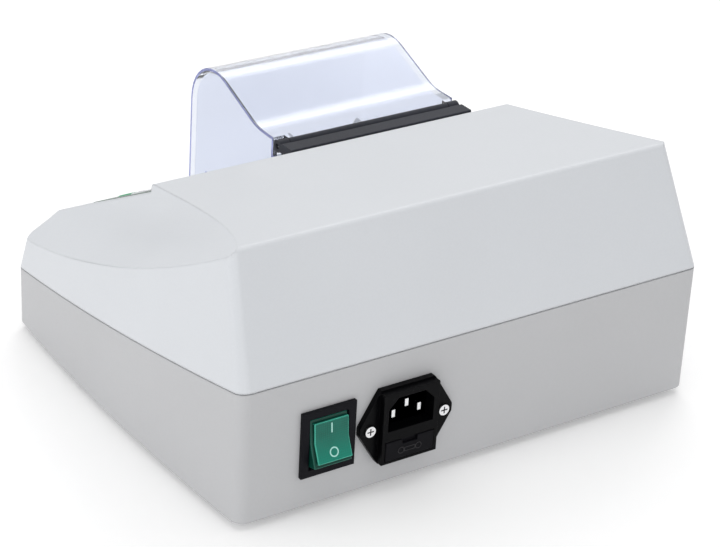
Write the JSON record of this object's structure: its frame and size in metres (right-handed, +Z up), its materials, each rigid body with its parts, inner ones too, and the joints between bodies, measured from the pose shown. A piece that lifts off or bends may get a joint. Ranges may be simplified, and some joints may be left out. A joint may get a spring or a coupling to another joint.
{
  "type": "dental amalgamator",
  "caption": "Low wedge-shaped bench mixer: clear hinged lid over an oscillating capsule arm, sloped key panel, rear rocker switch and mains inlet with fuse drawer.",
  "frame": {"origin": "middle of the footprint on the table, under the rubber feet", "axes": "+Z up, +Y to the rear with the switch and the inlet, -Y to the front lip, +X to the side with the key panel"},
  "size_m": [0.2638, 0.2354, 0.1267],
  "materials": {
    "base_plastic": "fine matte texture, cool grey",
    "cover_plastic": "fine matte texture, pale cool grey",
    "foot_rubber": "matte",
    "screw_steel": "zinc plated",
    "bar_plastic": "matte black",
    "pin_steel": "ground",
    "lid_plastic": "clear, slightly hazy blue-violet tint",
    "magnet_metal": "nickel plated",
    "sensor_plastic": "matte",
    "tray_plastic": "satin grey",
    "gasket_rubber": "matte",
    "arm_aluminium": "satin",
    "clip_steel": "bright spring steel",
    "spring_steel": "oiled spring wire",
    "motor_steel": "zinc plated",
    "ferrite": "dark matte",
    "core_steel": "varnished laminations",
    "bearing_steel": "polished",
    "bracket_steel": "zinc plated",
    "panel_plastic": "satin grey-green",
    "window_plastic": "smoked, glossy",
    "display_plastic": "glossy dark",
    "key_plastic": "satin",
    "start_key_plastic": "satin green",
    "switch_plastic": "satin black",
    "circuit_board": "green solder mask",
    "rocker_plastic": "translucent green with a prismatic inside",
    "terminal_brass": "plain",
    "inlet_plastic": "satin black",
    "pin_chrome": "nickel plated",
    "bright_screw_steel": "bright nickel plate",
    "fuse_glass": "clear glass tube",
    "coil_tape": "yellow tape",
    "part_plastic": "dark sleeves"
  },
  "bodies": {
    "case": {"base_shell": "base_plastic", "top_cover": "cover_plastic", "rubber_feet": "foot_rubber", "foot_screws": "screw_steel", "case_screws": "screw_steel", "hinge_bar": "bar_plastic", "hinge_bar_screws": "screw_steel", "hinge_pin": "pin_steel", "lid_sensor": "sensor_plastic", "mixing_well": "tray_plastic", "slot_gasket": "gasket_rubber", "anchor_spring": "spring_steel", "spring_post": "pin_steel", "motor_can": "motor_steel", "motor_end_cap": "motor_steel", "motor_magnets": "ferrite", "shaft_bearings": "bearing_steel", "motor_bracket": "bracket_steel", "motor_straps": "motor_steel", "motor_dampers": "gasket_rubber", "bracket_screws": "screw_steel", "control_panel": "panel_plastic", "display_window": "window_plastic", "display_module": "display_plastic", "key_switches": "switch_plastic", "control_board": "circuit_board", "board_screws": "screw_steel", "switch_body": "switch_plastic", "switch_terminals": "terminal_brass", "inlet_body": "inlet_plastic", "inlet_pins": "pin_chrome", "inlet_screws": "bright_screw_steel", "inlet_nuts": "bright_screw_steel", "transformer_core": "core_steel", "transformer_coil": "coil_tape", "transformer_screws": "screw_steel", "power_board": "circuit_board", "power_parts": "part_plastic"},
    "lid": {"lid_shell": "lid_plastic", "lid_magnet": "magnet_metal"},
    "rotor": {"rotor_core": "core_steel", "motor_shaft": "pin_steel", "oblique_hub": "arm_aluminium", "hub_bearing": "bearing_steel", "hub_set_screw": "screw_steel"},
    "arm": {"swing_arm": "arm_aluminium", "capsule_clip": "clip_steel", "clip_screws": "screw_steel"},
    "rocker": {"switch_rocker": "rocker_plastic"},
    "drawer": {"fuse_drawer": "inlet_plastic", "fuses": "fuse_glass"},
    "up_key": {"key_up": "key_plastic"},
    "down_key": {"key_down": "key_plastic"},
    "mode_key": {"key_mode": "key_plastic"},
    "start_key": {"key_start": "start_key_plastic"}
  },
  "joints": [
    {"name": "lid_hinge", "type": "hinge", "parent": "case", "child": "lid", "pos_m": [-0.03, -0.03275, 0.10687], "axis": [-1, 0, 0], "range_deg": [0, 100]},
    {"name": "rotor_spin", "type": "hinge", "parent": "case", "child": "rotor", "pos_m": [-0.03, -0.00175, 0.05838], "axis": [1, 0, 0], "continuous": true},
    {"name": "arm_swing", "type": "hinge", "parent": "case", "child": "arm", "pos_m": [-0.03, -0.00175, 0.05838], "axis": [0, 0.1392, 0.9903], "range_deg": [-6, 6], "stiffness_Nm_per_rad": 2, "deforming": ["anchor_spring"]},
    {"name": "rocker_tip", "type": "hinge", "parent": "case", "child": "rocker", "pos_m": [0.083, 0.11047, 0.0363], "axis": [-1, 0, 0], "range_deg": [0, 24]},
    {"name": "drawer_slide", "type": "slide", "parent": "case", "child": "drawer", "axis": [0, 1, 0], "range_m": [0, 0.018]},
    {"name": "up_press", "type": "slide", "parent": "case", "child": "up_key", "axis": [0, 0.4655, -0.8851], "range_m": [0, 0.0008], "stiffness_N_per_m": 400},
    {"name": "down_press", "type": "slide", "parent": "case", "child": "down_key", "axis": [0, 0.4655, -0.8851], "range_m": [0, 0.0008], "stiffness_N_per_m": 400},
    {"name": "mode_press", "type": "slide", "parent": "case", "child": "mode_key", "axis": [0, 0.4655, -0.8851], "range_m": [0, 0.0008], "stiffness_N_per_m": 400},
    {"name": "start_press", "type": "slide", "parent": "case", "child": "start_key", "axis": [0, 0.4655, -0.8851], "range_m": [0, 0.0008], "stiffness_N_per_m": 400}
  ]
}
